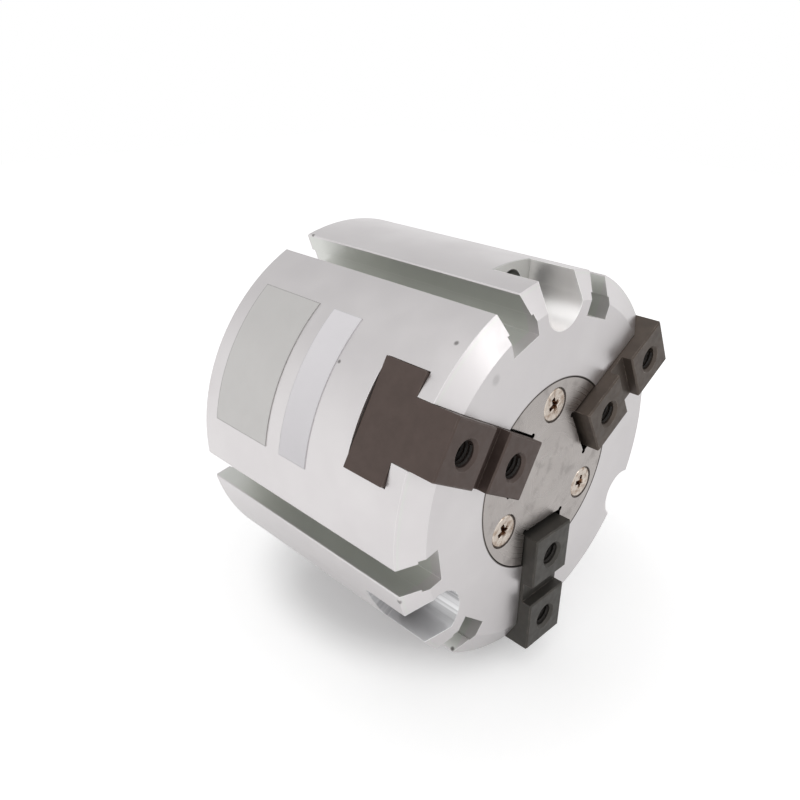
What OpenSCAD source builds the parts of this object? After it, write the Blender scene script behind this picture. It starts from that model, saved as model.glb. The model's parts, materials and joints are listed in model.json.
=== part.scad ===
// Three jaw centric gripper: an air cylinder whose piston lifts a wedge cam, and
// the cam slides three T-shaped jaws outwards together.
// +Z runs along the axis, from the back (mounting) face to the jaws. The origin is
// the centre of the back face. Lengths are millimetres and angles are degrees.
// The jaws are drawn closed, with the piston resting on its rear bumper.

/* [Body] */
// Outside diameter of the body
body_d = 70; // [69:0.5:86]
// Length of the body from its back face to its front face
body_l = 52; // [51:0.5:63]
// Axial length of the cone round the front edge
cone_l = 2.3; // [0.5:0.1:3]
// Radial width of the cone round the front edge
cone_w = 4.5; // [1:0.1:6]
// Chamfer round the back edge and the mouth of the rear recess
edge_c = 0.4; // [0.2:0.1:0.8]

/* [Cylinder] */
// Bore of the cylinder that the piston runs in
bore_d = 50; // [41.5:0.5:52]
// Stroke of the piston and its cam
stroke = 6; // [3:0.1:7.5]
// Length of the piston's head
piston_t = 7.8; // [7:0.1:9]
// Diameter of the piston rod
rod_d = 14; // [11:0.5:15]
// How far each rubber bumper stands proud of the wall that holds it
bumper_proud = 0.6; // [0.3:0.1:1]
// Thickness of the wall between the cylinder and the cam
wall_t = 5.8; // [5.2:0.1:7]

/* [Rear cap] */
// Thickness of the rear cap
cap_t = 5; // [4.5:0.1:6]
// How much wider than the bore the cap's seat is, on the radius
cap_step = 0.6; // [0.4:0.1:1]
// Depth of the recess that centres the gripper on its flange
pilot_depth = 2; // [1.5:0.1:3]
// Thickness of the snap ring
ring_t = 1.5; // [1:0.1:2]
// Depth of the snap ring's groove, on the radius
ring_bite = 1; // [0.6:0.1:1.1]

/* [Jaws] */
// Width of the part of a jaw that a finger bolts to
jaw_w = 10; // [8:0.5:12]
// Width of the head that runs in the T-slot
jaw_head_w = 18; // [16:0.5:19]
// Height of that head
jaw_head_h = 8.5; // [7.5:0.1:9]
// Depth of the head's shoulders below the front face
jaw_neck_h = 5.5; // [5:0.1:6]
// How far a jaw stands proud of the front face
jaw_proud = 2.7; // [2.2:0.1:6]
// Distance from the axis to a closed jaw's inner end
jaw_in = 10.6; // [10.6:0.1:12]
// Length of a jaw along its slot
jaw_l = 24; // [22:0.5:28]
// Distance between a jaw's two tapped holes
tap_pitch = 14; // [12:0.5:15]
// Tapping drill of those holes
tap_d = 4.2; // [3.3:0.1:5]
// Depth of those holes
tap_depth = 10; // [8:0.5:11]
// Width of the key slot between the holes
key_w = 4; // [3:0.5:6]
// Depth of the key slot
key_depth = 2; // [1:0.1:2.1]
// Chamfer on a jaw's edges
jaw_c = 0.25; // [0.1:0.05:0.5]

/* [Wedge] */
// Angle of the cam's flanks from the axis
wedge_angle = 45; // [40:1:46]
// Width of the neck of a jaw's hook
hook_neck_w = 4; // [3:0.1:5]
// Width of the head of a jaw's hook
hook_head_w = 6.8; // [6:0.1:7.2]
// Depth of the hook's neck below the flank
hook_neck_d = 1.4; // [1:0.1:1.6]
// Thickness of the hook's head
hook_head_t = 2; // [1.5:0.1:2.2]
// Radius that the cam's three wedges reach
lobe_r = 17.2; // [16:0.1:18]
// Width of each of those wedges
lobe_w = 9.6; // [9:0.1:10]
// Radius of the cam's hub
hub_r = 10.3; // [9.5:0.1:10.3]

/* [End plate] */
// Diameter of the end plate
plate_d = 35; // [34:0.5:38]
// Thickness of the end plate
plate_t = 2.7; // [2.4:0.1:3]
// Distance from the axis to the inner edge of each jaw's cut-out
plate_cut_r = 9.5; // [9:0.1:10]
// Pitch circle of the end plate's screws
screw_pcd = 26.2; // [26:0.1:28]
// Thread of the end plate's screws
screw_d = 3; // [2:0.5:3]
// Head diameter of those screws
screw_head_d = 6; // [5:0.1:6.2]
// Length of those screws
screw_l = 8; // [6:0.5:8]

/* [Mounting] */
// Pitch circle of the three through holes
bolt_pcd = 62; // [61:0.5:66]
// Diameter of the through holes
bolt_hole_d = 5.5; // [4.5:0.1:5.5]
// Width of the pocket for each bolt's head
pocket_w = 9.5; // [8.5:0.1:10]
// Depth of that pocket below the front face
pocket_depth = 11; // [6:0.5:20]
// Diameter of the dowel hole in the back face
dowel_d = 4; // [3:0.5:4]
// Depth of the dowel hole
dowel_depth = 4; // [3:0.5:4]
// Tapping drill of the two air ports
port_d = 4.2; // [3.3:0.1:4.2]
// Diameter of the flat round each port
port_face_d = 9; // [8:0.5:10]
// Depth of each port's thread from that flat
port_depth = 6; // [4:0.5:6]

/* [Switch grooves] */
// Angle between a mounting bolt and the groove on each side of it
groove_angle = 20; // [18:1:22]
// Width of a groove's mouth
groove_mouth_w = 5.4; // [4.2:0.1:5.6]
// Width of the groove below its lips
groove_w = 6.3; // [6:0.1:6.4]
// Thickness of the lips
groove_lip = 3.5; // [2:0.1:4]
// Depth of the groove
groove_depth = 7.3; // [6:0.1:7.3]

/* [Labels] */
// Thickness of the two labels
label_t = 0.12; // [0.05:0.01:0.2]
// Angle that each label covers
label_angle = 43; // [20:1:60]
// Height of the nameplate's lower edge above the back face
plate_label_z = 4; // [2:0.5:8]
// Height of the nameplate
plate_label_h = 14.6; // [8:0.1:16]
// Height of the paper label's lower edge above the back face
paper_z = 22.2; // [20:0.1:28]
// Height of the paper label
paper_h = 6.8; // [4:0.1:8]

/* [Fits] */
// Running clearance of the piston and the rod, on the radius
run_gap = 0.04; // [0.01:0.01:0.1]
// Sliding clearance on each side of a jaw and of its hook
slide_gap = 0.06; // [0.03:0.01:0.1]
// Room round the cam and under the end plate
free_gap = 0.3; // [0.2:0.05:0.5]
// Gap between a moving face and its stop
stop_gap = 0.04; // [0.02:0.01:0.1]
// Gap round pieces that drop into a seat
seat_gap = 0.05; // [0.02:0.01:0.1]

/* [Hidden] */
$fn = 96;
e = 0.01;              // how far a cut runs past the face it opens
far = 100;             // longer than anything it cuts

JAW_ANGLES = [-90, 30, 150];
BOLT_ANGLES = [for (a = JAW_ANGLES) a + 180];
// Two of the three bolts have a switch groove on each side of them.
GROOVE_ANGLES = [for (i = [1, 2], side = [-1, 1]) BOLT_ANGLES[i] + side * groove_angle];
port_angle = JAW_ANGLES[2];   // the ports and the dowel lie under this jaw
label_mid = JAW_ANGLES[0];    // and the labels under this one

body_r = body_d / 2;
bore_r = bore_d / 2;
rod_r = rod_d / 2;
plate_r = plate_d / 2;

// Heights from the back face, in the order of the pieces.
z_ring = pilot_depth;
ring_play = 0.1;
z_cap = z_ring + ring_t + ring_play;
z_bore = z_cap + cap_t;
z_piston = z_bore + bumper_proud;
z_wall = z_piston + piston_t + stroke + bumper_proud;
z_chamber = z_wall + wall_t;
z_cam = z_chamber + free_gap;
z_plate = body_l - plate_t;
cam_h = z_plate - free_gap - stroke - z_cam;
z_jaw_top = body_l + jaw_proud;
z_shoulder = body_l - jaw_neck_h;
z_head = z_shoulder - jaw_head_h;
z_flank = z_cam + cam_h;

// Radii of the seats.
cap_seat_r = bore_r + cap_step;
ring_groove_r = cap_seat_r + ring_bite;
chamber_r = hub_r + free_gap;

// Bumpers: one ring in the cap, and one in the wall.
bumper_sink = 1;
bumper_w = 4.5;
bumper_in = rod_r + 2.5;
bumper_out = bumper_in + bumper_w;

// Rod bush, rod seal and the washer that holds the seal.
bush_t = 1.5;
bush_r = rod_r + bush_t;
retainer_t = 1;
seal_t = 2.1;
z_seal = z_chamber - retainer_t - seal_t;
seal_seat_r = rod_r + 3;

// Piston grooves.
piston_r = bore_r - run_gap;
seal_groove_t = 3;
magnet_groove_t = 2.5;
land_t = (piston_t - seal_groove_t - magnet_groove_t) / 3;
piston_groove_d = 3.6;
z_seal_groove = z_piston + land_t;
z_magnet_groove = z_seal_groove + seal_groove_t + land_t;
piston_c = 0.7;

// Cam bolt and cam pin.
bolt_d = 5;
bolt_head_d = 8.5;
bolt_head_h = 5;
bolt_sink = 0.2;       // its head below the cam's top
bolt_bite = 7.9;       // its thread in the rod
bolt_socket = 4;
z_bolt_head = z_cam + cam_h - bolt_head_h - bolt_sink;
pin_d = 3;
pin_l = 6;
pin_r = rod_r - 2.2;
lobe_step = 0.5;

// Rear cap's ring seal.
oring_d = 1.8;
oring_play = 0.03;
oring_groove_w = 2.3;

// Countersunk screws of the end plate.
screw_head_h = (screw_head_d - screw_d) / 2;
screw_r_at = screw_pcd / 2;
screw_sink = 0.1;      // their heads below the plate's face

jaw_mid = jaw_in + jaw_l / 2;
tap_c = 0.5;

// Air ports: the flat round each one, and the narrow way into the cylinder.
port_face_sink = 0.5;
port_way_d = 1.8;

// ---------------------------------------------------------------- helpers

// Repeats a shape that is drawn along +X at each angle about the axis.
module around(angles) {
  for (a = angles) rotate(a) children();
}

// A disc from z1 to z2.
module disc(r, z1, z2) {
  translate([0, 0, z1]) cylinder(r = r, h = z2 - z1);
}

// A ring of rectangular section from z1 to z2.
module ring(r_out, r_in, z1, z2) {
  difference() {
    disc(r_out, z1, z2);
    disc(r_in, z1 - 1, z2 + 1);
  }
}

// A bar along +X, centred on the axis across its width.
module bar(x1, x2, w, z1, z2) {
  translate([x1, -w / 2, z1]) cube([x2 - x1, w, z2 - z1]);
}

// A round hole along +X at height z.
module radial_hole(d, x1, x2, z) {
  translate([x1, 0, z]) rotate([0, 90, 0]) cylinder(d = d, h = x2 - x1);
}

// Places a shape in the flank's own frame: +X out of the flank, +Z up along it.
module on_flank() {
  translate([jaw_in, 0, z_flank]) rotate([0, -wedge_angle, 0]) children();
}

// Everything under the flank, moved out of it by a gap (negative moves it in).
module under_flank(gap) {
  on_flank() translate([gap - far, -far / 2, -far / 2]) cube([far, far, far]);
}

// The T-shaped hook that couples a jaw to the cam, grown by a gap on each face.
module hook_bar(gap, out) {
  neck = hook_neck_w / 2 + gap;
  head = hook_head_w / 2 + gap;
  top = -hook_neck_d + gap;
  floor_x = -hook_neck_d - hook_head_t - gap;
  on_flank()
    linear_extrude(height = far, center = true)
      polygon([[out, -neck], [out, neck], [top, neck], [top, head],
               [floor_x, head], [floor_x, -head], [top, -head], [top, -neck]]);
}

// A solid turned about the axis, with chamfers c1 round its foot and c2 round its top.
module turned(r, z1, z2, c1, c2) {
  rotate_extrude()
    polygon([[0, z1], [r - c1, z1], [r, z1 + c1], [r, z2 - c2], [r - c2, z2], [0, z2]]);
}

// ---------------------------------------------------------------- housing

module body_blank() {
  rotate_extrude()
    polygon([[0, 0], [body_r - edge_c, 0], [body_r, edge_c], [body_r, body_l - cone_l],
             [body_r - cone_w, body_l], [0, body_l]]);
}

module body_turning() {
  translate([0, 0, -e])
    cylinder(r1 = cap_seat_r + edge_c + e, r2 = cap_seat_r, h = edge_c + e);
  disc(cap_seat_r, -1, z_bore);
  disc(ring_groove_r, z_ring, z_cap);
  disc(bore_r, z_bore - 1, z_wall);
  ring(bumper_out, bumper_in, z_wall - 1, z_wall + bumper_sink);
  disc(bush_r, z_wall - 1, z_seal);
  disc(seal_seat_r, z_seal, z_chamber + 1);
  disc(chamber_r, z_chamber, body_l + 1);
  disc(plate_r + seat_gap, z_plate, body_l + 1);
}

module jaw_slot() {
  bar(0, far, jaw_w + 2 * slide_gap, z_shoulder, body_l + 1);
  bar(0, far, jaw_head_w + 2 * slide_gap, z_head - slide_gap, z_shoulder + slide_gap);
  intersection() {
    bar(0, far, lobe_w + 2 * free_gap, z_chamber, z_head);
    disc(lobe_r + free_gap, z_chamber, z_head);
  }
}

module switch_groove() {
  mouth = groove_mouth_w / 2;
  wide = groove_w / 2;
  lip_x = body_r - groove_lip;
  floor_x = body_r - groove_depth;
  mouth_c = 0.3;
  translate([0, 0, -1])
    linear_extrude(height = body_l + 2)
      polygon([[floor_x, -wide], [lip_x, -wide], [lip_x, -mouth], [body_r - mouth_c, -mouth],
               [body_r + 1, -mouth - 1 - mouth_c], [body_r + 1, mouth + 1 + mouth_c],
               [body_r - mouth_c, mouth], [lip_x, mouth], [lip_x, wide], [floor_x, wide]]);
}

module bolt_pocket() {
  z_floor = body_l - pocket_depth;
  translate([bolt_pcd / 2, 0, 0]) {
    disc(pocket_w / 2, z_floor, body_l + 1);
    disc(bolt_hole_d / 2, -1, z_floor + 1);
    bar(0, far, pocket_w, z_floor, body_l + 1);
  }
}

module air_port(z) {
  face_x = body_r - port_face_sink;
  radial_hole(port_face_d, face_x, far, z);
  radial_hole(port_d, face_x - port_depth, far, z);
  radial_hole(port_way_d, bore_r - 1, face_x - port_depth + 1, z);
}

module body() {
  color([0.78, 0.78, 0.77])
    difference() {
      body_blank();
      body_turning();
      around(JAW_ANGLES) jaw_slot();
      around(GROOVE_ANGLES) switch_groove();
      around(BOLT_ANGLES) bolt_pocket();
      around(BOLT_ANGLES) translate([screw_r_at, 0, 0])
        disc(screw_d / 2, body_l - screw_l - 0.5, body_l);
      rotate(port_angle) {
        air_port(z_bore + bumper_proud / 2);
        air_port(z_wall - bumper_proud / 2);
        translate([bolt_pcd / 2, 0, 0]) disc(dowel_d / 2, -1, dowel_depth);
      }
    }
}

module end_plate() {
  relief_d = 1;
  rim_c = 0.15;
  cut_w = jaw_w + 0.8;
  color([0.70, 0.70, 0.69])
    difference() {
      turned(plate_r, z_plate, body_l, 0, rim_c);
      around(JAW_ANGLES) {
        bar(plate_cut_r, far, cut_w, z_plate - 1, body_l + 1);
        for (side = [-1, 1])
          translate([plate_cut_r + 0.1, side * (cut_w / 2 - 0.1), 0])
            disc(relief_d / 2, z_plate - 1, body_l + 1);
      }
      around(BOLT_ANGLES) translate([screw_r_at, 0, 0]) {
        disc(screw_d / 2 + 0.15, z_plate - 1, body_l + 1);
        translate([0, 0, body_l - screw_head_h - screw_sink])
          cylinder(d1 = screw_d + 0.2, d2 = screw_head_d + 0.4, h = screw_head_h + screw_sink + e);
      }
    }
}

module end_plate_screw() {
  cross_l = 3.2;
  cross_w = 0.9;
  cross_depth = 1.1;
  difference() {
    union() {
      translate([0, 0, body_l - screw_head_h - screw_sink])
        cylinder(d1 = screw_d, d2 = screw_head_d, h = screw_head_h);
      disc(screw_d / 2, body_l - screw_l, body_l - screw_head_h);
    }
    for (turn = [0, 90]) rotate(turn)
      bar(-cross_l / 2, cross_l / 2, cross_w, body_l - screw_sink - cross_depth, body_l + 1);
  }
}

module end_plate_screws() {
  color([0.80, 0.76, 0.66])
    around(BOLT_ANGLES) translate([screw_r_at, 0, 0]) end_plate_screw();
}

module rod_bush() {
  color([0.62, 0.50, 0.32]) ring(bush_r, rod_r + run_gap, z_wall, z_seal);
}

module rod_seal() {
  lip = 0.7;
  color([0.10, 0.10, 0.10])
    rotate_extrude()
      polygon([[seal_seat_r, z_seal], [seal_seat_r, z_seal + seal_t],
               [rod_r + 0.6, z_seal + seal_t], [rod_r + 0.6, z_seal + lip + 0.4],
               [rod_r + run_gap, z_seal + lip], [rod_r + run_gap, z_seal + 0.2],
               [rod_r + 1, z_seal + 0.2], [rod_r + 1.4, z_seal + lip + 0.3],
               [seal_seat_r - 1, z_seal + lip + 0.3], [seal_seat_r - 0.6, z_seal]]);
}

module rod_seal_retainer() {
  color([0.66, 0.66, 0.68])
    ring(seal_seat_r, rod_r + free_gap, z_chamber - retainer_t, z_chamber);
}

module front_bumper() {
  color([0.16, 0.16, 0.15])
    ring(bumper_out, bumper_in, z_wall - bumper_proud + stop_gap, z_wall + bumper_sink);
}

module rear_bumper() {
  color([0.16, 0.16, 0.15])
    ring(bumper_out, bumper_in, z_bore - bumper_sink, z_bore + bumper_proud - stop_gap);
}

module rear_cap() {
  groove_mid = z_cap + cap_t / 2;
  color([0.72, 0.72, 0.72])
    difference() {
      turned(cap_seat_r - seat_gap, z_cap, z_bore, 0.3, 0.8);
      ring(cap_seat_r + 1, cap_seat_r - oring_d - 2 * oring_play,
           groove_mid - oring_groove_w / 2, groove_mid + oring_groove_w / 2);
      ring(bumper_out, bumper_in, z_bore - bumper_sink, z_bore + 1);
    }
}

module rear_cap_seal() {
  color([0.08, 0.08, 0.08])
    rotate_extrude()
      translate([cap_seat_r - oring_play - oring_d / 2, z_cap + cap_t / 2])
        circle(d = oring_d, $fn = 32);
}

// An internal snap ring: its band is widest opposite the gap between its two lugs.
module snap_ring() {
  lug_r = 2.6;
  lug_at = ring_groove_r - lug_r - 1.1;
  lug_turn = 8;
  lug_hole_r = 1;
  gap_w = 3;
  off_centre = 0.6;
  z1 = z_ring + ring_play / 2;
  inner_r = cap_seat_r - 2.3;
  color([0.30, 0.30, 0.31])
    difference() {
      union() {
        difference() {
          disc(ring_groove_r - seat_gap, z1, z1 + ring_t);
          translate([off_centre, 0, 0]) disc(inner_r, z1 - 1, z1 + ring_t + 1);
        }
        for (side = [-1, 1]) rotate(side * lug_turn)
          translate([lug_at, 0, 0]) disc(lug_r, z1, z1 + ring_t);
      }
      bar(0, far, gap_w, z1 - 1, z1 + ring_t + 1);
      for (side = [-1, 1]) rotate(side * lug_turn)
        translate([lug_at, 0, 0]) disc(lug_hole_r, z1 - 1, z1 + ring_t + 1);
    }
}

// A thin label that lies on the body's cylinder.
module wrapped_label(z, h) {
  rotate(label_mid - label_angle / 2)
    rotate_extrude(angle = label_angle)
      translate([body_r, z]) square([label_t, h]);
}

module nameplate() {
  color([0.70, 0.71, 0.70]) wrapped_label(plate_label_z, plate_label_h);
}

module paper_label() {
  color([0.88, 0.88, 0.87]) wrapped_label(paper_z, paper_h);
}

// ---------------------------------------------------------------- piston and cam

module piston() {
  color([0.74, 0.75, 0.76])
    difference() {
      union() {
        turned(piston_r, z_piston, z_piston + piston_t, piston_c, piston_c);
        disc(rod_r, z_piston, z_cam);
      }
      ring(bore_r + 1, bore_r - piston_groove_d, z_seal_groove, z_seal_groove + seal_groove_t);
      ring(bore_r + 1, bore_r - piston_groove_d, z_magnet_groove,
           z_magnet_groove + magnet_groove_t);
      disc(bolt_d / 2, z_cam - bolt_bite - 1, z_cam + 1);
      translate([pin_r, 0, 0]) disc(pin_d / 2, z_cam - pin_l / 2, z_cam + 1);
    }
}

module piston_seal() {
  r_in = bore_r - piston_groove_d;
  z1 = z_seal_groove + 0.1;
  z2 = z_seal_groove + seal_groove_t - 0.1;
  lip = 0.9;
  color([0.09, 0.09, 0.09])
    rotate_extrude()
      polygon([[r_in, z1], [piston_r, z1], [piston_r, z1 + lip], [piston_r - 0.7, z1 + lip + 0.3],
               [piston_r - 0.7, z2 - lip - 0.3], [piston_r, z2 - lip], [piston_r, z2],
               [r_in, z2]]);
}

module piston_magnet() {
  color([0.20, 0.19, 0.19])
    ring(bore_r - 0.5, bore_r - piston_groove_d, z_magnet_groove,
         z_magnet_groove + magnet_groove_t);
}

// The hub and its three wedges. The wedges stop a step below the hub's top.
module cam_blank() {
  disc(hub_r, z_cam, z_cam + cam_h);
  around(JAW_ANGLES) intersection() {
    bar(hub_r / 2, far, lobe_w, z_cam, z_cam + cam_h - lobe_step);
    disc(lobe_r, z_cam - 1, z_cam + cam_h + 1);
    under_flank(-slide_gap);
  }
}

module cam() {
  color([0.42, 0.41, 0.40])
    difference() {
      cam_blank();
      around(JAW_ANGLES) hook_bar(slide_gap, far / 2);
      disc(bolt_d / 2 + 0.2, z_cam - 1, z_cam + cam_h);
      disc(bolt_head_d / 2 + 0.2, z_bolt_head, z_cam + cam_h + 1);
      translate([pin_r, 0, 0]) disc(pin_d / 2, z_cam - 1, z_cam + pin_l / 2);
    }
}

module cam_bolt() {
  color([0.18, 0.18, 0.18])
    difference() {
      union() {
        translate([0, 0, z_bolt_head]) turned(bolt_head_d / 2, 0, bolt_head_h, 0, 0.4);
        disc(bolt_d / 2, z_cam - bolt_bite, z_bolt_head);
      }
      translate([0, 0, z_bolt_head + bolt_head_h / 2])
        cylinder(d = bolt_socket / cos(30), h = bolt_head_h, $fn = 6);
    }
}

module cam_pin() {
  color([0.60, 0.60, 0.62])
    translate([pin_r, 0, 0]) disc(pin_d / 2, z_cam - pin_l / 2, z_cam + pin_l / 2);
}

// ---------------------------------------------------------------- jaws

// Section across a jaw: a T with its corners cut.
module jaw_section() {
  n = jaw_w / 2;
  h = jaw_head_w / 2;
  c = jaw_c;
  polygon([[-h + c, z_head], [h - c, z_head], [h, z_head + c], [h, z_shoulder - c],
           [h - c, z_shoulder], [n, z_shoulder], [n, z_jaw_top - c], [n - c, z_jaw_top],
           [-n + c, z_jaw_top], [-n, z_jaw_top - c], [-n, z_shoulder], [-h + c, z_shoulder],
           [-h, z_shoulder - c], [-h, z_head + c]]);
}

// Side view of a jaw: its ends, the sloping face at its inner end and the key slot.
module jaw_side() {
  x1 = jaw_in;
  x2 = jaw_in + jaw_l;
  k1 = jaw_mid - key_w / 2;
  k2 = jaw_mid + key_w / 2;
  z_key = z_jaw_top - key_depth;
  c = jaw_c;
  polygon([[x1 + (z_flank - z_head) * tan(wedge_angle), z_head], [x2 - c, z_head], [x2, z_head + c],
           [x2, z_jaw_top - c], [x2 - c, z_jaw_top], [k2 + c, z_jaw_top], [k2, z_jaw_top - c],
           [k2, z_key], [k1, z_key], [k1, z_jaw_top - c], [k1 - c, z_jaw_top],
           [x1 + c, z_jaw_top], [x1, z_jaw_top - c], [x1, z_flank]]);
}

module jaw() {
  color([0.34, 0.31, 0.29])
    difference() {
      union() {
        intersection() {
          rotate([90, 0, 90]) linear_extrude(height = far) jaw_section();
          rotate([90, 0, 0]) linear_extrude(height = far, center = true) jaw_side();
        }
        intersection() {
          hook_bar(0, 1);
          bar(0, far, far, z_head, z_flank - slide_gap);
        }
      }
      for (side = [-1, 1]) translate([jaw_mid + side * tap_pitch / 2, 0, 0]) {
        disc(tap_d / 2, z_jaw_top - tap_depth, z_jaw_top + 1);
        translate([0, 0, z_jaw_top - tap_c])
          cylinder(d1 = tap_d, d2 = tap_d + 2 * tap_c + 2 * e, h = tap_c + e);
      }
    }
}

module jaw_1() { rotate(JAW_ANGLES[0]) jaw(); }
module jaw_2() { rotate(JAW_ANGLES[1]) jaw(); }
module jaw_3() { rotate(JAW_ANGLES[2]) jaw(); }

body();
end_plate();
end_plate_screws();
jaw_1();
jaw_2();
jaw_3();
cam();
cam_bolt();
cam_pin();
piston();
piston_seal();
piston_magnet();
rod_bush();
rod_seal();
rod_seal_retainer();
front_bumper();
rear_bumper();
rear_cap();
rear_cap_seal();
snap_ring();
nameplate();
paper_label();
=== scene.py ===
# %% [markdown]
# # Finishing a three jaw centric gripper
# The gripper arrives as a finished assembly of machined pieces at their real size.
# This lesson gives each piece the surface that it has in the workshop: anodised
# aluminium, phosphated steel, nickel plate, foil, paper, rubber. It also adds what is
# too small to draw in the assembly, such as threads and the crosses in the screws.
# Loading the frame first means that nothing has to be placed by eye.

# %% Load the frame
import json
import math

import bmesh
import bpy
from mathutils import Matrix, Vector


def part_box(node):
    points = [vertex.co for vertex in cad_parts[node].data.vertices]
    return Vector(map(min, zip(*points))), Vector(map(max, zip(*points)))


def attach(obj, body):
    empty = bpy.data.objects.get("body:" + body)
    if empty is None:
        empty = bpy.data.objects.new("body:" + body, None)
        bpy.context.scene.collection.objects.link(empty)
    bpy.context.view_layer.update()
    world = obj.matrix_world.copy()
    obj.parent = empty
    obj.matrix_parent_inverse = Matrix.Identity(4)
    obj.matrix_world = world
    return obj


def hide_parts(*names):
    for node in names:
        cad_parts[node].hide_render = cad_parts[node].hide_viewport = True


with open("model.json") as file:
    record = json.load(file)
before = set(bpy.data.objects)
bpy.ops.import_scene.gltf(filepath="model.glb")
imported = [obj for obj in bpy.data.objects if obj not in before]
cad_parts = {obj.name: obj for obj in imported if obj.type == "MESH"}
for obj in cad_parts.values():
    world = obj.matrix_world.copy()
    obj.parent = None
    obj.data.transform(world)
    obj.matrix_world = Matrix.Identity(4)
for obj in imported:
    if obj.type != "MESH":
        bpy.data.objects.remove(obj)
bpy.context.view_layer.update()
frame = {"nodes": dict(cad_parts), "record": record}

MM = 0.001
nodes = frame["nodes"]
record = frame["record"]


# %% [markdown]
# ## Camera
# The gripper lies on its side and is seen from its front quarter. A camera can be
# turned with angles, but here its three directions are known, and a matrix of those
# directions says exactly where it looks. Its columns are right, up and backwards.

# %% Camera
LENS = 35.121
SENSOR = 36
camera_place = Vector((-9.731, -121.531, 115.334)) * MM
camera_right = Vector((-0.36497, 0.60679, 0.70612)).normalized()
camera_back = Vector((-0.05392, -0.77094, 0.63462)).normalized()
camera_up = camera_back.cross(camera_right)

camera_data = bpy.data.cameras.new("camera")
camera_data.lens = LENS
camera_data.sensor_width = SENSOR
camera_data.clip_start = 0.01
camera_data.clip_end = 20
camera = bpy.data.objects.new("camera", camera_data)
bpy.context.scene.collection.objects.link(camera)
turn = Matrix((camera_right, camera_up, camera_back)).transposed().to_4x4()
camera.matrix_world = Matrix.Translation(camera_place) @ turn
bpy.context.scene.camera = camera
bpy.context.scene.view_settings.view_transform = "Standard"
print("camera at", [round(v, 4) for v in camera_place])

# %% [markdown]
# ## A small kit for shader nodes
# A node tree built in code soon fills with lines that add a node, set it and link it.
# Nodes could also be joined by hand in the editor, but then the look couldn't be read as
# text. The class below gives each step one short name. The world and the floor use it as
# it is, and the finishes further down build on it.

# %% Nodes
class Tree:
    """A shader node tree, and short ways to build it."""

    def __init__(self, owner):
        owner.use_nodes = True
        self.tree = owner.node_tree

    def add(self, kind, **settings):
        node = self.tree.nodes.new(kind)
        for key, value in settings.items():
            setattr(node, key, value)
        return node

    def feed(self, socket, value):
        """Joins another node's output to a socket, or sets it to a number."""
        if isinstance(value, bpy.types.NodeSocket):
            self.tree.links.new(value, socket)
        elif socket.type == "RGBA":
            socket.default_value = (*value, 1)
        else:
            socket.default_value = value

    def vector(self, operation, a, b=None):
        node = self.add("ShaderNodeVectorMath", operation=operation)
        self.feed(node.inputs[0], a)
        if b is not None:
            self.feed(node.inputs[1], b)
        number = operation in ("DOT_PRODUCT", "LENGTH", "DISTANCE")
        return node.outputs["Value" if number else "Vector"]

    def math(self, operation, a, b=0.0):
        node = self.add("ShaderNodeMath", operation=operation)
        self.feed(node.inputs[0], a)
        self.feed(node.inputs[1], b)
        return node.outputs[0]

    def ramp(self, value, low, high, first=0.0, last=1.0):
        """Takes low to first and high to last, with a smooth climb between."""
        node = self.add("ShaderNodeMapRange", interpolation_type="SMOOTHSTEP")
        self.feed(node.inputs["Value"], value)
        self.feed(node.inputs["From Min"], low)
        self.feed(node.inputs["From Max"], high)
        self.feed(node.inputs["To Min"], first)
        self.feed(node.inputs["To Max"], last)
        return node.outputs["Result"]

    def seen(self):
        """1 for a ray from the camera, off a mirror or through glass."""
        path = self.add("ShaderNodeLightPath").outputs
        first = self.math("MAXIMUM", path["Is Camera Ray"], path["Is Glossy Ray"])
        return self.math("MAXIMUM", first, path["Is Transmission Ray"])


# %% [markdown]
# ## The world
# Bare metal shows its surroundings more than its own colour, so a metal piece looks
# right only in a bright tent. A picture of a studio could stand in for the tent, but a
# few numbers are easier to tune. The world is white where the camera looks, a little
# darker overhead in the mirrors, and dimmer where it lights matt surfaces.

# %% World
MATT_LEVEL = 0.50
OVERHEAD_LEVEL = 0.67
LYING_ANGLE = math.radians(30)

body_low, body_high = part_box("body")
body_radius = body_high.x
body_middle = (body_low + body_high) / 2
down = Vector((math.cos(LYING_ANGLE), math.sin(LYING_ANGLE), 0))

world = bpy.data.worlds.new("studio")
bpy.context.scene.world = world
sky = Tree(world)
background = sky.tree.nodes["Background"]
background.inputs["Color"].default_value = (1, 1, 1, 1)
direction = sky.add("ShaderNodeTexCoord").outputs["Generated"]
height = sky.vector("DOT_PRODUCT", direction, -down)
mirrored = sky.add("ShaderNodeLightPath").outputs["Is Glossy Ray"]
overhead = sky.math("MULTIPLY", sky.ramp(height, 0.0, 0.8), mirrored)
bright = sky.ramp(overhead, 0.0, 1.0, 1.0, OVERHEAD_LEVEL)
sky.feed(background.inputs["Strength"], sky.ramp(sky.seen(), 0.0, 1.0, MATT_LEVEL, bright))
print("body radius in mm:", round(body_radius / MM, 2), "down:", [round(v, 3) for v in down])

# %% [markdown]
# ## Lamps
# The world alone would leave the shapes flat, so two lamps give them form. The key lamp
# is wide and lights the body from above. The fill lamp is small and stands where the
# front cone mirrors it towards the camera, and there it draws the cone's bright band.

# %% Lamps
def soft_lamp(name, direction, distance, size, watts):
    """A square lamp that faces the middle of the body."""
    data = bpy.data.lights.new(name, "AREA")
    data.size = size
    data.energy = watts
    lamp = bpy.data.objects.new(name, data)
    bpy.context.scene.collection.objects.link(lamp)
    direction = direction.normalized()
    lamp.location = body_middle + direction * distance
    lamp.rotation_euler = direction.to_track_quat("Z", "Y").to_euler()


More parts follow.
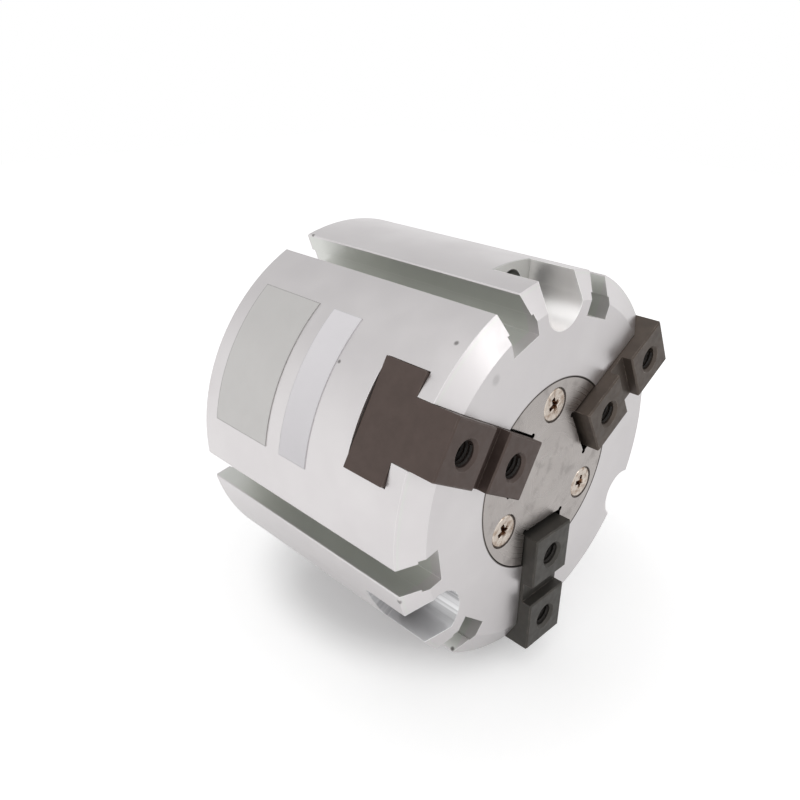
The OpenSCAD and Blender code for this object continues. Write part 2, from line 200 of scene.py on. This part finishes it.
from_above = camera_back * 0.5 - down * 0.8 - camera_right * 0.3
from_front = camera_back * 0.45 + camera_right * 0.89 + camera_up * 0.08
soft_lamp("key", from_above, distance=0.55, size=0.65, watts=1.1)
soft_lamp("fill", from_front, distance=0.60, size=0.14, watts=0.16)

# %% [markdown]
# ## The floor
# The gripper lies on the side below its second jaw, so the floor is a plane there. It
# lies as far down as that jaw reaches when the gripper is open, so no piece goes through
# it at any pose, and it is clear from below.

# %% Floor shape
FLOOR_HALF = 0.6
JAW_TRAVEL = 6 * MM


def object_from(bm, name):
    """Turns a bmesh into an object at the origin."""
    mesh = bpy.data.meshes.new(name)
    bm.to_mesh(mesh)
    bm.free()
    made = bpy.data.objects.new(name, mesh)
    bpy.context.scene.collection.objects.link(made)
    return made


jaw_reach = max(v.co.dot(down) for v in nodes["jaw_2"].data.vertices)
floor_depth = jaw_reach + JAW_TRAVEL
floor_bm = bmesh.new()
bmesh.ops.create_grid(floor_bm, x_segments=1, y_segments=1, size=FLOOR_HALF)
facing_up = (-down).to_track_quat("Z", "Y").to_matrix().to_4x4()
floor_place = Matrix.Translation(down * floor_depth) @ facing_up
bmesh.ops.transform(floor_bm, matrix=floor_place, verts=floor_bm.verts)
floor = object_from(floor_bm, "floor")
print("floor", round(floor_depth / MM, 1), "mm below the axis")

# %% [markdown]
# A white floor could simply be a white material under strong light, but then the lamps
# would wash out the gripper too. Here part of the floor's brightness is its own and part
# is the light that it catches, and only the caught part is lost in the gripper's shadow.
# So the floor's own share is cut down in a fixed patch right under the body, which paints
# a contact shadow there, and it grows outwards. The metal mirrors the floor a little darker
# than the camera sees it, and darker still near the body and to one side, which paints
# darker reflections on the metal.

# %% Floor finish
FLOOR_COLOUR = (0.76, 0.76, 0.76)
CONTACT_SHARE, NEAR_SHARE, FAR_SHARE = 0.15, 0.48, 0.66
CONTACT_RIM = (17.5 * MM, 32 * MM)
CONTACT_MIDDLE = 13.4 * MM
CONTACT_SHORTENED = 0.84
OPEN_FLOOR = (35 * MM, 90 * MM)
MIRRORED_NEAR = 0.24
MIRRORED_FAR = (0.31, 0.52)
MIRRORED_FLOOR = (30 * MM, 80 * MM)
MIRRORED_SIDES = (-100 * MM, 80 * MM)

paint = bpy.data.materials.new("floor")
coat = Tree(paint)
coat.tree.nodes.clear()
place = coat.add("ShaderNodeTexCoord").outputs["Object"]
under_body = down * floor_depth
away = coat.vector("DISTANCE", place, body_middle + under_body)
shortened = coat.vector("MULTIPLY", place, (1, 1, CONTACT_SHORTENED))
contact = coat.vector("DISTANCE", shortened, under_body + Vector((0, 0, CONTACT_MIDDLE)))
# Painted contact shadow: the floor's own glow is low in a fixed patch under the body.
painted_contact_shadow = coat.ramp(contact, *CONTACT_RIM, CONTACT_SHARE, NEAR_SHARE)
to_camera = coat.ramp(away, *OPEN_FLOOR, painted_contact_shadow, FAR_SHARE)
across = coat.vector("DOT_PRODUCT", place, down.cross((0, 0, 1)))
# Painted shade in the mirrors: the floor glows less for them near the body and to one side.
far_off = coat.ramp(across, *MIRRORED_SIDES, *MIRRORED_FAR)
to_mirrors = coat.ramp(away, *MIRRORED_FLOOR, MIRRORED_NEAR, far_off)
camera_ray = coat.add("ShaderNodeLightPath").outputs["Is Camera Ray"]
share = coat.ramp(camera_ray, 0.0, 1.0, to_mirrors, to_camera)

# %% Floor shader
caught = coat.add("ShaderNodeBsdfDiffuse")
coat.feed(caught.inputs["Color"], FLOOR_COLOUR)
own = coat.add("ShaderNodeEmission")
coat.feed(own.inputs["Strength"], coat.math("MULTIPLY", coat.seen(), share))
both = coat.add("ShaderNodeAddShader")
coat.feed(both.inputs[0], caught.outputs[0])
coat.feed(both.inputs[1], own.outputs[0])
shown = coat.add("ShaderNodeMixShader")
coat.feed(shown.inputs["Fac"], coat.add("ShaderNodeNewGeometry").outputs["Backfacing"])
coat.feed(shown.inputs[1], both.outputs[0])
coat.feed(shown.inputs[2], coat.add("ShaderNodeBsdfTransparent").outputs[0])
coat.feed(coat.add("ShaderNodeOutputMaterial").inputs["Surface"], shown.outputs[0])
floor.data.materials.append(paint)
print("floor finish:", len(coat.tree.nodes), "nodes")

# %% [markdown]
# ## Building finishes
# A finish on a machined piece needs the same few things again and again: a place on the
# surface in millimetres, noise at the size of a tool mark, a worn edge, a bump. The
# class below gives each of them a name, so a finish reads like its description.

# %% A kit for finishes
EDGE_LEAN = (0.985, 0.90)


def shade(*levels):
    """A colour as linear numbers, from the 0 to 255 levels that a screen shows."""
    return tuple(((v / 255 + 0.055) / 1.055) ** 2.4 for v in levels)


def pointing(angle):
    """The direction at this angle round the gripper's axis, in degrees."""
    turned = math.radians(angle)
    return (math.cos(turned), math.sin(turned), 0)


class Finish(Tree):
    """A material with a Principled shader, and short ways to feed it."""

    def __init__(self, name, colour, metallic, roughness):
        self.material = bpy.data.materials.new(name)
        super().__init__(self.material)
        self.shader = self.tree.nodes["Principled BSDF"]
        self.shader.inputs["Base Color"].default_value = (*colour, 1)
        self.shader.inputs["Metallic"].default_value = metallic
        self.shader.inputs["Roughness"].default_value = roughness
        metres = self.add("ShaderNodeTexCoord").outputs["Object"]
        self.place = self.vector("MULTIPLY", metres, (1 / MM,) * 3)

    def part(self, axis):
        """One coordinate of the place, in millimetres."""
        node = self.add("ShaderNodeSeparateXYZ")
        self.feed(node.inputs[0], self.place)
        return node.outputs[axis]

    def radius(self):
        """Distance from the gripper's axis, in millimetres."""
        return self.vector("LENGTH", self.vector("MULTIPLY", self.place, (1, 1, 0)))

    def toward(self, angle):
        """How far the place lies from the axis in this direction, in millimetres."""
        return self.vector("DOT_PRODUCT", self.place, pointing(angle))

    def noise(self, scale, detail=2.0, stretch=(1, 1, 1)):
        """Noise with about this many blobs to a millimetre."""
        node = self.add("ShaderNodeTexNoise")
        self.feed(node.inputs["Vector"], self.vector("MULTIPLY", self.place, stretch))
        node.inputs["Scale"].default_value = scale
        node.inputs["Detail"].default_value = detail
        return node.outputs["Fac"]

    def lines(self, along, scale, detail=3.0):
        """Noise that changes with one number only, as tool marks do."""
        node = self.add("ShaderNodeTexNoise", noise_dimensions="1D")
        self.feed(node.inputs["W"], along)
        node.inputs["Scale"].default_value = scale
        node.inputs["Detail"].default_value = detail
        return node.outputs["Fac"]

    def mix(self, factor, a, b):
        node = self.add("ShaderNodeMix", data_type="RGBA")
        self.feed(node.inputs["Factor"], factor)
        self.feed(node.inputs[6], a)
        self.feed(node.inputs[7], b)
        return node.outputs[2]

    def rounded(self, width):
        """Normals that turn softly over each edge, as a deburred edge does."""
        node = self.add("ShaderNodeBevel", samples=6)
        node.inputs["Radius"].default_value = width * MM
        return node.outputs["Normal"]

    def edges(self, width):
        """1 on an edge and 0 on a flat: how far the rounded normal leans away."""
        flat = self.add("ShaderNodeNewGeometry").outputs["True Normal"]
        lean = self.vector("DOT_PRODUCT", self.rounded(width), flat)
        return self.ramp(lean, *EDGE_LEAN)

    def clouds(self, scale, detail, low, high):
        """Two tones that run into each other in clouds."""
        return self.mix(self.noise(scale, detail), low, high)

    def bump(self, height, depth, normal=None):
        node = self.add("ShaderNodeBump")
        node.inputs["Distance"].default_value = depth * MM
        self.feed(node.inputs["Height"], height)
        if normal is not None:
            self.feed(node.inputs["Normal"], normal)
        return node.outputs["Normal"]

    def colour(self, value):
        self.feed(self.shader.inputs["Base Color"], value)

    def roughness(self, value):
        self.feed(self.shader.inputs["Roughness"], value)

    def uneven(self, scale, detail, low, high):
        """Roughness that wanders between two values."""
        self.roughness(self.ramp(self.noise(scale, detail), 0.3, 0.7, low, high))

    def normal(self, value):
        self.feed(self.shader.inputs["Normal"], value)

    def put_on(self, *pieces):
        for piece in pieces:
            piece.data.materials.clear()
            piece.data.materials.append(self.material)


# %% [markdown]
# ## The body: satin anodised aluminium
# The body is turned and milled from bar, blasted and anodised. Anodising leaves a fine,
# even grain that blurs reflections, and freshly milled grooves look darker than the
# blasted outside. A single metal colour would look like plastic, so the grain, the faint
# tool marks, the smudges from handling and a few specks each get their own noise. The
# surfaces that differ could be painted face by face, but a distance in millimetres finds
# them in any mesh, and leaves a soft border.

# %% Specks and bolt pockets
BOLT_ANGLES = (90, 210, 330)
BOLT_RADIUS = 31.0
POCKET_HALF = 4.75
POCKET_FLOOR = 41.0
BODY_SPECKS = (
    (-114, 35, 47.5, 0.55, 0.75), (-98.7, 35, 29.5, 0.45, 0.75), (-134.7, 35, 1.6, 0.5, 0.75),
    (-78, 35, 44.6, 0.3, 0.75), (75, 35, 30, 0.4, 0.75), (-113.9, 28.1, 52, 1.2, 0.22),
    (-5.5, 34.5, 49.4, 0.55, 0.9), (-43.7, 35, 49.6, 0.6, 0.7),
)
# Bolt pockets: painted light on the walls and painted shade on the floors.
POCKET_SHADED_FLOOR, POCKET_LIT_WALL = shade(196, 197, 194), shade(251, 249, 248)
# The scored pocket: painted shade deep down, painted light near the opening.
SCORED_SHADED_DEEP, SCORED_LIT_OPEN = shade(216, 215, 216), shade(250, 250, 251)
STREAK = shade(190, 190, 191)
STREAK_SCALE = 1.1


def specks(finish, places):
    """Dark dots at (angle, radius, height, size, strength), each with a soft rim."""
    total = 0.0
    for angle, reach, height, size, strength in places:
        spot = Vector(pointing(angle)) * reach + Vector((0, 0, height))
        off = finish.vector("DISTANCE", finish.place, spot)
        dot = finish.ramp(off, size, size * 0.3, 0.0, strength)
        total = finish.math("MAXIMUM", dot, total)
    return total


def bolt_pocket(finish, angle):
    """1 on the walls and floor of the bolt pocket at this angle, which opens outward."""
    beyond = finish.math("SUBTRACT", finish.toward(angle), BOLT_RADIUS)
    inward = finish.math("MINIMUM", beyond, 0.0)
    across = finish.toward(angle + 90)
    squares = [finish.math("MULTIPLY", side, side) for side in (inward, across)]
    away = finish.math("SQRT", finish.math("ADD", *squares))
    inside = finish.ramp(away, POCKET_HALF + 0.15, POCKET_HALF + 0.05)
    above = finish.ramp(finish.part("Z"), POCKET_FLOOR - 0.5, POCKET_FLOOR)
    return finish.math("MULTIPLY", inside, above)


def lit_pocket_wall(finish):
    """A wall painted brighter than the body as painted light, over a floor in painted shade."""
    above_floor = finish.ramp(finish.part("Z"), POCKET_FLOOR + 0.05, POCKET_FLOOR + 0.3)
    return finish.mix(above_floor, POCKET_SHADED_FLOOR, POCKET_LIT_WALL)


def scored_wall(finish, angle):
    """Cutter streaks, painted shade deep in the pocket and painted light near its opening."""
    across = finish.toward(angle + 90)
    clean = finish.ramp(finish.lines(across, STREAK_SCALE), 0.62, 0.38, 0.0, 0.8)
    flat = finish.ramp(finish.math("ABSOLUTE", across), POCKET_HALF - 0.25, POCKET_HALF - 0.05)
    rising = finish.ramp(finish.part("Z"), POCKET_FLOOR + 2, POCKET_FLOOR + 10)
    wall = finish.mix(rising, SCORED_SHADED_DEEP, SCORED_LIT_OPEN)
    return finish.mix(finish.math("MAXIMUM", clean, flat), STREAK, wall)


# %% Body
BLASTED = (shade(215, 211, 212), shade(228, 225, 225))
MILLED = (shade(212, 213, 209), shade(226, 227, 223))
BARE_EDGE_AND_HIGHLIGHT = shade(246, 244, 243)
SEAM_DIRT = shade(104, 99, 96)
SPECK = shade(95, 92, 90)
SCORED_POCKET = 330
FRONT_START = 50.0
BACK_EDGE = (0.45, 0.3)
seam_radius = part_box("end_plate")[1].x / MM


def anodised_aluminium():
    finish = Finish("body_aluminium", shade(222, 219, 219), 0.94, 0.36)
    reach = body_radius / MM
    height = finish.part("Z")
    outside = finish.ramp(finish.radius(), reach - 0.5, reach - 0.25)
    front = finish.ramp(height, FRONT_START - 0.2, FRONT_START + 0.2)
    back = finish.ramp(height, *BACK_EDGE)
    blasted = finish.math("MAXIMUM", outside, finish.math("MAXIMUM", front, back))
    cloud = finish.noise(0.09, 3)
    coat = finish.mix(blasted, finish.mix(cloud, *MILLED), finish.mix(cloud, *BLASTED))
    bright = lit_pocket_wall(finish)
    # The pocket walls and floors carry painted light and shade.
    for angle in BOLT_ANGLES:
        wall = scored_wall(finish, angle) if angle == SCORED_POCKET else bright
        coat = finish.mix(bolt_pocket(finish, angle), coat, wall)
    # Bright edges: rubbed metal, and a painted highlight where the edges catch the light.
    rubbed = finish.math("MULTIPLY", finish.edges(0.18), 0.5)
    worn_and_highlit = finish.mix(rubbed, coat, BARE_EDGE_AND_HIGHLIGHT)
    seam = finish.ramp(finish.radius(), seam_radius + 0.30, seam_radius + 0.10)
    grimy = finish.mix(finish.math("MULTIPLY", seam, front), worn_and_highlit, SEAM_DIRT)
    finish.colour(finish.mix(specks(finish, BODY_SPECKS), grimy, SPECK))
    finish.roughness(finish.ramp(finish.noise(0.16, 4), 0.35, 0.7, 0.34, 0.41))
    grain = finish.bump(finish.noise(9, 2), 0.004, finish.rounded(0.12))
    finish.normal(finish.bump(finish.lines(finish.radius(), 2.2), 0.0015, grain))
    return finish


anodised_aluminium().put_on(nodes["body"])
print("end plate's seam at radius", round(seam_radius, 2), "mm")

# %% [markdown]
# ## The jaws: phosphated steel
# The jaws are hardened and ground steel under a dark brown-grey phosphate coat. It is
# matt and a little cloudy, and it rubs away first along the edges, where bare steel
# shines through. The bright edges are also a painted highlight where they catch the light.
# The wear could be drawn along each edge by hand. A mask from the real shape's edges,
# broken up by noise, gives it everywhere at once. No two jaws come out of the bath alike:
# the first is browner and the second darker. The third has the brightest edges, rubbed
# steel and a painted highlight where they face the light.

# %% Jaws
RUBBED_STEEL_AND_HIGHLIGHT = shade(150, 138, 128)


def phosphated_steel(dark, light, wear_and_highlight):
    finish = Finish("jaw_steel", light, 0.5, 0.46)
    # Bright edges: rubbed steel, and a painted highlight where the edges catch the light.
    patchy = finish.ramp(finish.noise(0.5, 3), 0.42, 0.66, 0.05, wear_and_highlight)
    rubbed = finish.math("MULTIPLY", finish.edges(0.26), patchy)
    coat = finish.clouds(0.35, 4, dark, light)
    finish.colour(finish.mix(rubbed, coat, RUBBED_STEEL_AND_HIGHLIGHT))
    finish.uneven(0.8, 4, 0.38, 0.52)
    ground = finish.bump(finish.noise(5, 3, (1, 1, 0.15)), 0.003, finish.rounded(0.12))
    finish.normal(ground)
    return finish


JAW_TONES = {
    "jaw_1": (shade(79, 67, 62), shade(94, 80, 75), 0.40),
    "jaw_2": (shade(65, 63, 60), shade(82, 79, 74), 0.55),
    "jaw_3": (shade(75, 67, 62), shade(100, 89, 80), 0.90),
}
for name, (dark, light, wear_and_highlight) in JAW_TONES.items():
    phosphated_steel(dark, light, wear_and_highlight).put_on(nodes[name])
print("jaws:", *JAW_TONES)

# %% [markdown]
# ## The end plate: fine turned steel
# The plate is faced on a lathe, and its marks are circles round the axis. An anisotropic
# shader could blur the gloss along them, but real fine rings also break up a reflection.
# One line of noise over the distance from the axis draws all of them at once. Handling
# adds stains and a few straight scratches, and the joint round the plate is dark. Down in
# the countersinks, the gap round each screw head is painted dark, as dirt and as a painted
# shadow.

# %% Turned steel
def turned_steel(name, low, high, roughness, pitch):
    finish = Finish(name, high, 1.0, roughness)
    rings = finish.lines(finish.radius(), pitch)
    finish.colour(finish.clouds(0.2, 4, low, high))
    finish.roughness(finish.ramp(rings, 0.3, 0.7, roughness * 0.9, roughness * 1.1))
    finish.normal(finish.bump(rings, 0.0005, finish.rounded(0.08)))
    return finish


def scratches(finish, angle, length, keep):
    """Thin straight scratches at one angle: noise that is stretched along them."""
    sheet = finish.add("ShaderNodeCombineXYZ")
    finish.feed(sheet.inputs[0], finish.math("DIVIDE", finish.toward(angle), length))
    finish.feed(sheet.inputs[1], finish.math("MULTIPLY", finish.toward(angle + 90), 3.0))
    node = finish.add("ShaderNodeTexNoise")
    finish.feed(node.inputs["Vector"], sheet.outputs[0])
    node.inputs["Scale"].default_value = 1.0
    return finish.ramp(node.outputs["Fac"], keep, keep + 0.06)


# %% End plate
PLATE_LOW, PLATE_HIGH = shade(174, 168, 165), shade(194, 188, 184)
PLATE_STAIN, PLATE_SCRATCH = shade(146, 140, 137), shade(214, 209, 206)
PLATE_GAP = shade(78, 71, 67)
SCRATCHES = ((24, 9, 0.66), (-51, 7, 0.67))
face_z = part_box("end_plate")[1].z / MM


def joint(finish):
    """1 on the plate's outer wall and down in its countersinks."""
    rim = finish.ramp(finish.radius(), seam_radius - 0.22, seam_radius - 0.08)
    sunk = finish.ramp(finish.part("Z"), face_z - 0.02, face_z - 0.06)
    inner = finish.ramp(finish.radius(), seam_radius - 0.6, seam_radius - 0.9)
    return finish.math("MAXIMUM", rim, finish.math("MULTIPLY", sunk, inner))


def end_plate_steel():
    """Turned, with handling marks, a dark joint, and countersinks in dirt and painted shadow.
    """
    finish = turned_steel("plate_steel", PLATE_LOW, PLATE_HIGH, 0.30, 3.5)
    stained = finish.ramp(finish.noise(0.35, 5), 0.52, 0.72, 0.0, 0.5)
    tone = finish.mix(stained, finish.clouds(0.2, 4, PLATE_LOW, PLATE_HIGH), PLATE_STAIN)
    marks = finish.math("MAXIMUM", *[scratches(finish, *each) for each in SCRATCHES])
    tone = finish.mix(finish.math("MULTIPLY", marks, 0.35), tone, PLATE_SCRATCH)
    # Dark joint line, and painted shadow with dirt in the countersink gaps.
    finish.colour(finish.mix(joint(finish), tone, PLATE_GAP))
    return finish


end_plate_steel().put_on(nodes["end_plate"])
print("end plate's face at", round(face_z, 2), "mm")

# %% [markdown]
# ## The labels
# Both labels are bare. The foil one is silver and a little uneven, and the paper one is
# matt white. A flat colour would make them look like holes in the body, so each has
# faint clouds and its own grain. Their edges carry a darker line, a painted shadow of the
# label's thin edge, which the edge mask draws.

# %% Labels
def label(name, colour, edge_shadow, metallic, roughness, grain, depth):
    finish = Finish(name, colour, metallic, roughness)
    toned = finish.clouds(0.12, 3, colour, tuple(v * 0.93 for v in colour))
    # Painted shadow along the label's edge.
    finish.colour(finish.mix(finish.edges(0.3), toned, edge_shadow))
    finish.uneven(0.5, 3, roughness - 0.05, roughness + 0.05)
    finish.normal(finish.bump(finish.noise(grain, 4), depth))
    return finish


foil = label("label_foil", shade(215, 213, 211), shade(150, 148, 146),
             metallic=0.45, roughness=0.42, grain=1.5, depth=0.006)
paper = label("label_paper", shade(244, 241, 244), shade(205, 203, 205),
              metallic=0.0, roughness=0.62, grain=6, depth=0.004)
foil.put_on(nodes["nameplate"])
paper.put_on(nodes["paper_label"])
print("labels: nameplate, paper_label")

# %% [markdown]
# ## The pieces inside
# The piston, cap, cam, bush, seals and bumpers hardly show, and one grey would do for a
# picture. Each keeps its own finish all the same, so the gripper still looks right when
# it is taken apart: ground steel, black oxide, rubber, and a bush of sintered bronze with
# open pores.

# %% Finishes for the inner pieces
def ground_steel(name, low, high, roughness):
    finish = Finish(name, high, 1.0, roughness)
    finish.colour(finish.clouds(0.4, 4, low, high))
    finish.uneven(2, 3, roughness - 0.06, roughness + 0.06)
    finish.normal(finish.bump(finish.noise(4, 3, (1, 1, 0.1)), 0.003, finish.rounded(0.1)))
    return finish


def black_oxide():
    finish = Finish("black_steel", shade(58, 57, 58), 0.8, 0.38)
    rubbed = finish.math("MULTIPLY", finish.edges(0.15), finish.noise(1.5, 3))
    coat = finish.clouds(0.6, 3, shade(50, 50, 52), shade(66, 64, 64))
    finish.colour(finish.mix(rubbed, coat, shade(120, 118, 116)))
    finish.normal(finish.bump(finish.noise(5, 3), 0.003, finish.rounded(0.1)))
    return finish


def rubber(name, low, high, roughness):
    finish = Finish(name, low, 0.0, roughness)
    finish.colour(finish.clouds(0.8, 4, low, high))
    finish.uneven(3, 2, roughness - 0.08, roughness + 0.08)
    finish.normal(finish.bump(finish.noise(7, 2), 0.006, finish.rounded(0.1)))
    return finish


def sintered_bronze():
    finish = Finish("bush_bronze", shade(176, 148, 104), 1.0, 0.42)
    pores = finish.ramp(finish.noise(8, 2), 0.35, 0.5)
    finish.colour(finish.mix(pores, shade(104, 82, 54), shade(182, 154, 108)))
    finish.normal(finish.bump(pores, 0.01, finish.rounded(0.1)))
    return finish


# %% Inner pieces
turned = turned_steel("piston_aluminium", shade(186, 187, 189), shade(204, 205, 207), 0.30, 2.5)
turned.put_on(nodes["piston"], nodes["rear_cap"])
cam_finish = ground_steel("cam_steel", shade(118, 116, 114), shade(142, 140, 137), 0.32)
cam_finish.put_on(nodes["cam"])
bright = ground_steel("bright_steel", shade(176, 176, 178), shade(198, 198, 200), 0.22)
bright.put_on(nodes["cam_pin"], nodes["rod_seal_retainer"])
black_oxide().put_on(nodes["cam_bolt"], nodes["snap_ring"])
sintered_bronze().put_on(nodes["rod_bush"])
seal = rubber("seal_rubber", shade(38, 38, 38), shade(48, 48, 48), 0.5)
seal.put_on(nodes["piston_seal"], nodes["rod_seal"], nodes["rear_cap_seal"])
magnet = rubber("magnet_rubber", shade(62, 60, 58), shade(78, 75, 72), 0.6)
magnet.put_on(nodes["piston_magnet"])
bumper = rubber("bumper_rubber", shade(56, 56, 52), shade(70, 70, 66), 0.55)
bumper.put_on(nodes["front_bumper"], nodes["rear_bumper"])
print(len(bpy.data.materials), "materials")

# %% [markdown]
# ## New pieces from bmesh
# A bmesh is a mesh that is being built. Lists of points and faces would make any shape,
# but operators are easier to read and to change. The threads and screws below each start
# from a few points, are shaped with operators, and become an object at the origin here.

# %% From bmesh to piece
def build(name, bm, body, finish):
    """Makes an object from a bmesh, and says what it rides on and is made of."""
    bmesh.ops.remove_doubles(bm, verts=bm.verts, dist=0.001 * MM)
    bmesh.ops.recalc_face_normals(bm, faces=bm.faces)
    piece = object_from(bm, name)
    finish.put_on(piece)
    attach(piece, body)
    print(name, len(piece.data.polygons), "faces")
    return piece


# %% [markdown]
# ## Threads
# A thread is one ridge that climbs as it turns. A texture could only fake it, and the
# holes are seen from close by. The spin operator sweeps a shape round an axis, and when
# each step also moves along that axis, a triangle becomes a whole thread. The ridge
# stands on the wall of each tapped hole, on a jaw or round an air port.

# %% Threads in the tapped holes
THREAD_PITCH = 0.8
THREAD_DEPTH = 0.20
THREAD_STEPS = 32
THREAD_MARGIN = 0.8
RIDGE_HALF = 0.42
RIDGE_ROOT = 0.03


def ridge(bm, radius, depth, pitch, turns, place):
    """A helical ridge on a wall of this radius: inwards if depth is negative."""
    half = pitch * RIDGE_HALF
    root = radius + (RIDGE_ROOT if depth < 0 else -RIDGE_ROOT)
    outline = ((root, -half), (radius + depth, 0), (root, half))
    corners = [bm.verts.new((r * MM, 0, z * MM)) for r, z in outline]
    start = bm.faces.new(corners)
    steps = round(THREAD_STEPS * turns)
    climb = (0, 0, pitch * MM / THREAD_STEPS)
    geometry = [start, *start.edges, *start.verts]
    bmesh.ops.spin(bm, geom=geometry, cent=(0, 0, 0), axis=(0, 0, 1), dvec=climb,
                   angle=math.tau * turns, steps=steps, use_merge=False)
    fresh = [v for v in bm.verts if not v.tag]
    bmesh.ops.transform(bm, matrix=place, verts=fresh)


def hole_thread(mount, body, finish):
    axis = Vector(mount["axis"]).normalized()
    length = mount["dims"]["length_mm"]
    turns = (length - 2 * THREAD_MARGIN) / THREAD_PITCH
    start = Vector(mount["pos_m"]) - axis * (length / 2 - THREAD_MARGIN) * MM
    place = Matrix.Translation(start) @ axis.to_track_quat("Z", "Y").to_matrix().to_4x4()
    bm = bmesh.new()
    ridge(bm, mount["dims"]["r_mm"], -THREAD_DEPTH, THREAD_PITCH, turns, place)
    return build(mount["name"] + "_thread", bm, body, finish)


# Thread steel for the jaws' holes, painted dark as painted shade down in the holes.
def shaded_hole_steel():
    finish = Finish("jaw_steel", shade(40, 36, 34), 0.3, 0.6)
    finish.colour(finish.clouds(2, 3, shade(34, 31, 29), shade(52, 47, 44)))
    finish.uneven(3, 2, 0.5, 0.72)
    finish.normal(finish.bump(finish.noise(6, 2), 0.004))
    return finish


hole_finish = shaded_hole_steel()
port_finish = anodised_aluminium()
for mount in record["mounts"]:
    if mount["kind"] != "threaded_hole":
        continue
    if mount["name"].startswith("jaw"):
        hole_thread(mount, mount["name"][:5] + "_body", hole_finish)
    else:
        hole_thread(mount, "housing", port_finish)

# %% [markdown]
# ## The cover screws
# Three countersunk screws with a cross recess hold the end plate. A screw is a spun
# outline, a thread, and a recess. The recess could be cut by hand, vertex by vertex, but
# a Boolean with two tapered blades gives the real shape of the driver's tip.

# %% Screw blank
SCREW_HEAD = 2.95
HEAD_ACROSS = 6.0
HEAD_EDGE = (0.25, 0.18)
SCREW_SHANK = 1.5
SCREW_CORE = SCREW_SHANK - 0.2
SCREW_CONE = SCREW_HEAD - SCREW_SHANK
TIP_EDGE = (0.4, 0.5)
screws_low, screws_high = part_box("end_plate_screws")
screw_ring = ((screws_high.y - screws_low.y) / MM - HEAD_ACROSS) / 1.5
screw_length = (screws_high.z - screws_low.z) / MM


def screw_shape():
    """One screw with its head's top at z = 0, without its recess and thread."""
    bm = bmesh.new()
    outline = ((0, 0), (SCREW_HEAD - HEAD_EDGE[0], 0), (SCREW_HEAD, -HEAD_EDGE[1]),
               (SCREW_CORE, -SCREW_CONE), (SCREW_CORE, TIP_EDGE[1] - screw_length),
               (SCREW_CORE - TIP_EDGE[0], -screw_length), (0, -screw_length))
    points = [bm.verts.new((r * MM, 0, z * MM)) for r, z in outline]
    edges = [bm.edges.new(pair) for pair in zip(points, points[1:])]
    bmesh.ops.spin(bm, geom=[*points, *edges], cent=(0, 0, 0), axis=(0, 0, 1),
                   angle=math.tau, steps=64, use_merge=True)
    bmesh.ops.remove_doubles(bm, verts=bm.verts, dist=0.001 * MM)
    bmesh.ops.recalc_face_normals(bm, faces=bm.faces)
    return bm


print("screws", round(screw_length, 2), "mm long, on a radius of", round(screw_ring, 2), "mm")

# %% Recess
BLADE = (3.6, 1.05, 1.5)
BLADE_TAPER = (0.35, 0.6, 1)
BLADE_SUNK = 0.35


def blade(angle):
    """A driver's blade: a block that narrows downwards."""
    bm = bmesh.new()
    bmesh.ops.create_cube(bm, size=1)
    bmesh.ops.scale(bm, vec=Vector(BLADE) * MM, verts=bm.verts)
    low = [v for v in bm.verts if v.co.z < 0]
    bmesh.ops.scale(bm, vec=BLADE_TAPER, verts=low)
    bmesh.ops.translate(bm, vec=(0, 0, -BLADE_SUNK * MM), verts=bm.verts)
    bmesh.ops.rotate(bm, cent=(0, 0, 0), matrix=Matrix.Rotation(angle, 3, "Z"), verts=bm.verts)
    return object_from(bm, "blade")


def with_recess(blank):
    """A bmesh of the screw after two crossed blades have cut it."""
    blades = [blade(angle) for angle in (0, math.pi / 2)]
    for cutter in blades:
        cut = blank.modifiers.new("recess", "BOOLEAN")
        cut.object = cutter
        cut.solver = "EXACT"
    graph = bpy.context.evaluated_depsgraph_get()
    bm = bmesh.new()
    bm.from_mesh(bpy.data.meshes.new_from_object(blank.evaluated_get(graph)))
    for spent in (blank, *blades):
        bpy.data.objects.remove(spent)
    return bm


# %% Nickel plate
NICKEL, NICKEL_STAIN = shade(214, 203, 192), shade(172, 152, 136)
NICKEL_EDGE_AND_GLINT, RECESS_BROWN = shade(244, 236, 226), shade(112, 82, 60)


def nickel_plate():
    """Stained plate, edges bright as rubbing and painted glints, darker brown in the recess."""
    finish = Finish("screw_steel", shade(226, 214, 200), 1.0, 0.30)
    # Darker brown deeper in the recess.
    depth = finish.ramp(finish.part("Z"), face_z - 0.2, face_z - 0.55)
    stain = finish.ramp(finish.noise(0.9, 2), 0.42, 0.7)
    # Bright edges: rubbed plate, and painted glints.
    rubbed = finish.math("MULTIPLY", finish.edges(0.18), 0.8)
    plate = finish.mix(rubbed, finish.mix(stain, NICKEL, NICKEL_STAIN), NICKEL_EDGE_AND_GLINT)
    finish.colour(finish.mix(depth, plate, RECESS_BROWN))
    finish.uneven(2.5, 3, 0.18, 0.32)
    finish.normal(finish.bump(finish.noise(1.4, 2), 0.02, finish.rounded(0.18)))
    return finish


screw_finish = nickel_plate()

# %% Cover screws
SCREW_TOP = 0.1
SCREW_PITCH = 0.5
SCREW_START = 0.6
SCREW_TURNS = (20, -35, 50)


def cover_screw(number, angle, turned_by):
    """A screw in its countersink, its cross turned by this angle."""
    bm = with_recess(object_from(screw_shape(), "screw_blank"))
    for v in bm.verts:
        v.tag = True
    turns = (screw_length - SCREW_CONE - 2 * SCREW_START) / SCREW_PITCH
    start = Matrix.Translation((0, 0, (SCREW_START - screw_length) * MM))
    ridge(bm, SCREW_CORE, SCREW_SHANK - SCREW_CORE, SCREW_PITCH, turns, start)
    middle = Vector(pointing(angle)) * screw_ring + Vector((0, 0, face_z - SCREW_TOP))
    turn = Matrix.Rotation(math.radians(turned_by), 4, "Z")
    bmesh.ops.transform(bm, matrix=Matrix.Translation(middle * MM) @ turn, verts=bm.verts)
    return build("cover_screw_%d" % number, bm, "housing", screw_finish)


for number, turned_by in enumerate(SCREW_TURNS):
    cover_screw(number + 1, 90 + 120 * number, turned_by)
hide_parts("end_plate_screws")
